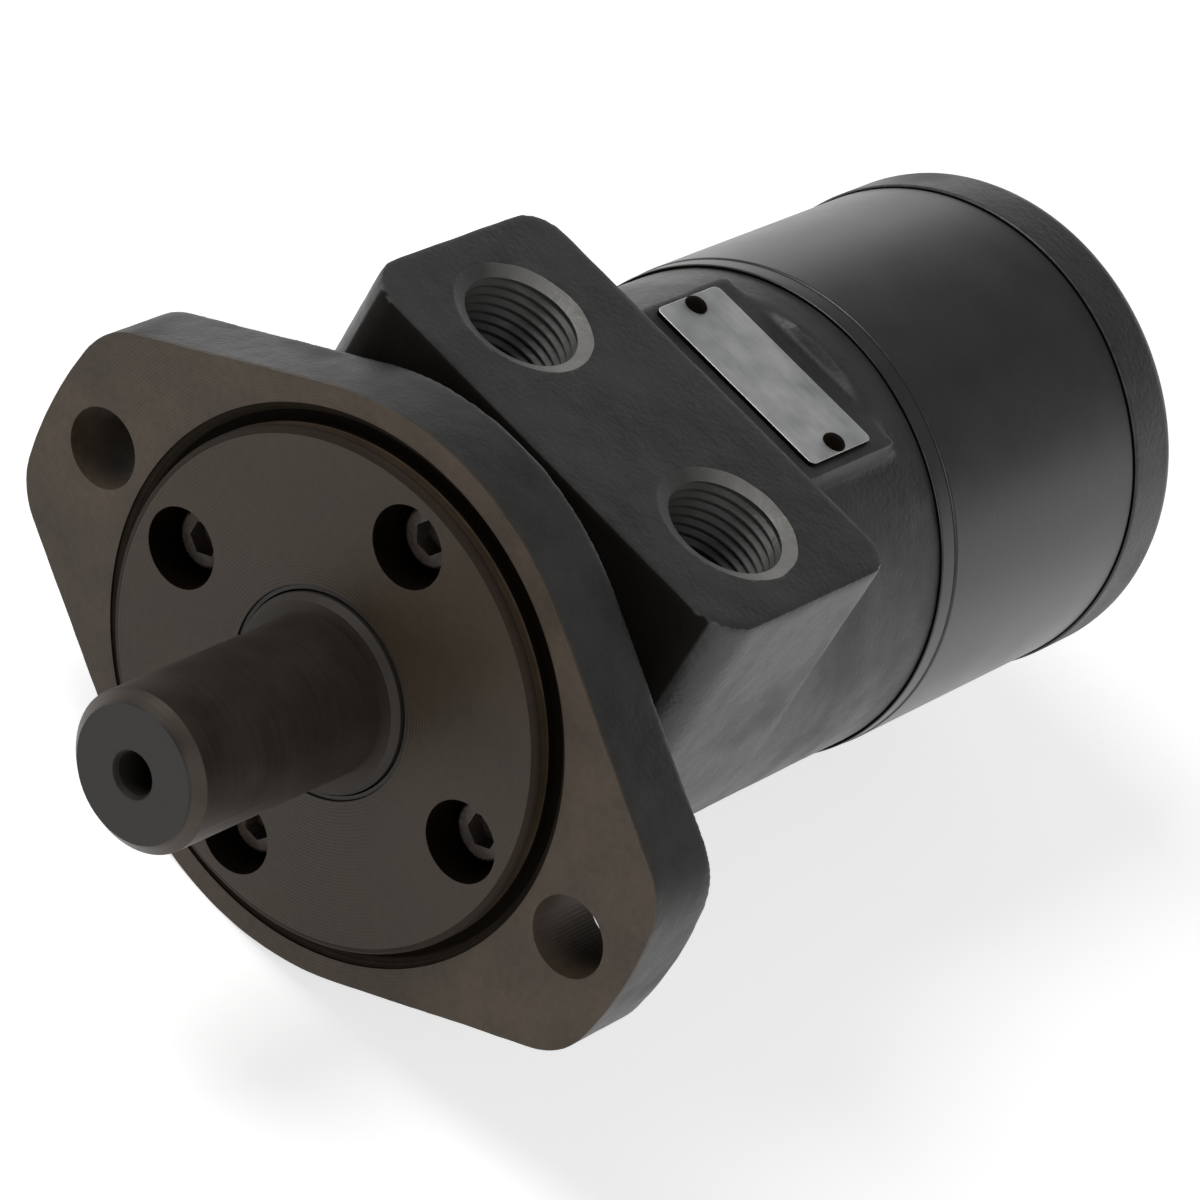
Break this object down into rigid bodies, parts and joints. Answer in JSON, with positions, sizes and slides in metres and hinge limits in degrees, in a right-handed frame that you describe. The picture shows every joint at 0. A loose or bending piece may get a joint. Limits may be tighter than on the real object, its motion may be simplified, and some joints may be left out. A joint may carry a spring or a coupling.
{
  "type": "hydraulic motor",
  "caption": "Spool-valve orbit hydraulic motor with a two-bolt pilot flange, keyed straight shaft, two top ports, a roller gerotor section and an end cap.",
  "frame": {"origin": "centre of the pilot circle, in the plane of the flange's mounting face", "axes": "-Y along the shaft, away from the body; +Y back through the housing to the end cap; +Z out of the two ports; X along the flange's long axis, through both mounting holes"},
  "size_m": [0.1298, 0.2142, 0.096],
  "materials": {
    "flange_paint": "satin black over iron, thin and brownish on the machined front",
    "casting_paint": "satin black over a rough casting",
    "smooth_paint": "satin black over turned steel",
    "shaft_steel": "dark oiled steel",
    "screw_steel": "black oxide with a little rust",
    "bright_steel": "ground",
    "cage_bronze": "turned",
    "seal_rubber": "moulded",
    "plate_metal": "plain, rolled"
  },
  "bodies": {
    "casing": {"mounting_flange": "flange_paint", "flange_screws": "screw_steel", "dust_seal": "seal_rubber", "shaft_seal": "seal_rubber", "seal_backup_washer": "bright_steel", "flange_o_ring": "seal_rubber", "fixed_thrust_race": "bright_steel", "valve_housing": "casting_paint", "housing_o_ring": "seal_rubber", "spacer_plate": "smooth_paint", "gerotor_ring": "smooth_paint", "ring_o_rings": "seal_rubber", "end_cap": "casting_paint", "end_cap_screws": "screw_steel", "name_plate": "plate_metal", "plate_pins": "screw_steel"},
    "shaft": {"output_shaft": "shaft_steel", "shaft_key": "bright_steel", "turning_thrust_race": "bright_steel"},
    "thrust_bearing": {"needle_cage": "cage_bronze", "thrust_needles": "bright_steel"},
    "orbit": {"drive_spacer": "bright_steel"},
    "star": {"gerotor_star": "bright_steel"},
    "link": {"drive_link": "shaft_steel"},
    "roller_1_body": {"roller_1": "bright_steel"},
    "roller_2_body": {"roller_2": "bright_steel"},
    "roller_3_body": {"roller_3": "bright_steel"},
    "roller_4_body": {"roller_4": "bright_steel"},
    "roller_5_body": {"roller_5": "bright_steel"},
    "roller_6_body": {"roller_6": "bright_steel"},
    "roller_7_body": {"roller_7": "bright_steel"}
  },
  "joints": [
    {"name": "shaft_spin", "type": "hinge", "parent": "casing", "child": "shaft", "pos_m": [0, 0, 0], "axis": [0, -1, 0], "continuous": true},
    {"name": "bearing_spin", "type": "hinge", "parent": "casing", "child": "thrust_bearing", "pos_m": [0, 0.01665, 0], "axis": [0, -1, 0], "continuous": true},
    {"name": "star_orbit", "type": "hinge", "parent": "casing", "child": "orbit", "pos_m": [0, 0.131, 0], "axis": [0, -1, 0], "continuous": true},
    {"name": "star_turn", "type": "hinge", "parent": "orbit", "child": "star", "pos_m": [0.0027, 0.131, 0], "axis": [0, -1, 0], "continuous": true},
    {"name": "link_turn", "type": "hinge", "parent": "orbit", "child": "link", "pos_m": [0, 0.058, 0], "axis": [-0.0355, -0.9994, 0], "continuous": true},
    {"name": "roller_1_spin", "type": "hinge", "parent": "casing", "child": "roller_1_body", "pos_m": [0.0265, 0.131, 0], "axis": [0, -1, 0], "continuous": true},
    {"name": "roller_2_spin", "type": "hinge", "parent": "casing", "child": "roller_2_body", "pos_m": [0.01652, 0.131, 0.02072], "axis": [0, -1, 0], "continuous": true},
    {"name": "roller_3_spin", "type": "hinge", "parent": "casing", "child": "roller_3_body", "pos_m": [-0.0059, 0.131, 0.02584], "axis": [0, -1, 0], "continuous": true},
    {"name": "roller_4_spin", "type": "hinge", "parent": "casing", "child": "roller_4_body", "pos_m": [-0.02388, 0.131, 0.0115], "axis": [0, -1, 0], "continuous": true},
    {"name": "roller_5_spin", "type": "hinge", "parent": "casing", "child": "roller_5_body", "pos_m": [-0.02388, 0.131, -0.0115], "axis": [0, -1, 0], "continuous": true},
    {"name": "roller_6_spin", "type": "hinge", "parent": "casing", "child": "roller_6_body", "pos_m": [-0.0059, 0.131, -0.02584], "axis": [0, -1, 0], "continuous": true},
    {"name": "roller_7_spin", "type": "hinge", "parent": "casing", "child": "roller_7_body", "pos_m": [0.01652, 0.131, -0.02072], "axis": [0, -1, 0], "continuous": true}
  ],
  "couplings": [
    {"joint": "bearing_spin", "follows": "shaft_spin", "ratio": 0.5},
    {"joint": "star_orbit", "follows": "shaft_spin", "ratio": -6},
    {"joint": "star_turn", "follows": "shaft_spin", "ratio": 7},
    {"joint": "link_turn", "follows": "shaft_spin", "ratio": 7},
    {"joint": "roller_1_spin", "follows": "shaft_spin", "ratio": -4.98},
    {"joint": "roller_2_spin", "follows": "shaft_spin", "ratio": -4.98},
    {"joint": "roller_3_spin", "follows": "shaft_spin", "ratio": -4.98},
    {"joint": "roller_4_spin", "follows": "shaft_spin", "ratio": -4.98},
    {"joint": "roller_5_spin", "follows": "shaft_spin", "ratio": -4.98},
    {"joint": "roller_6_spin", "follows": "shaft_spin", "ratio": -4.98},
    {"joint": "roller_7_spin", "follows": "shaft_spin", "ratio": -4.98}
  ]
}
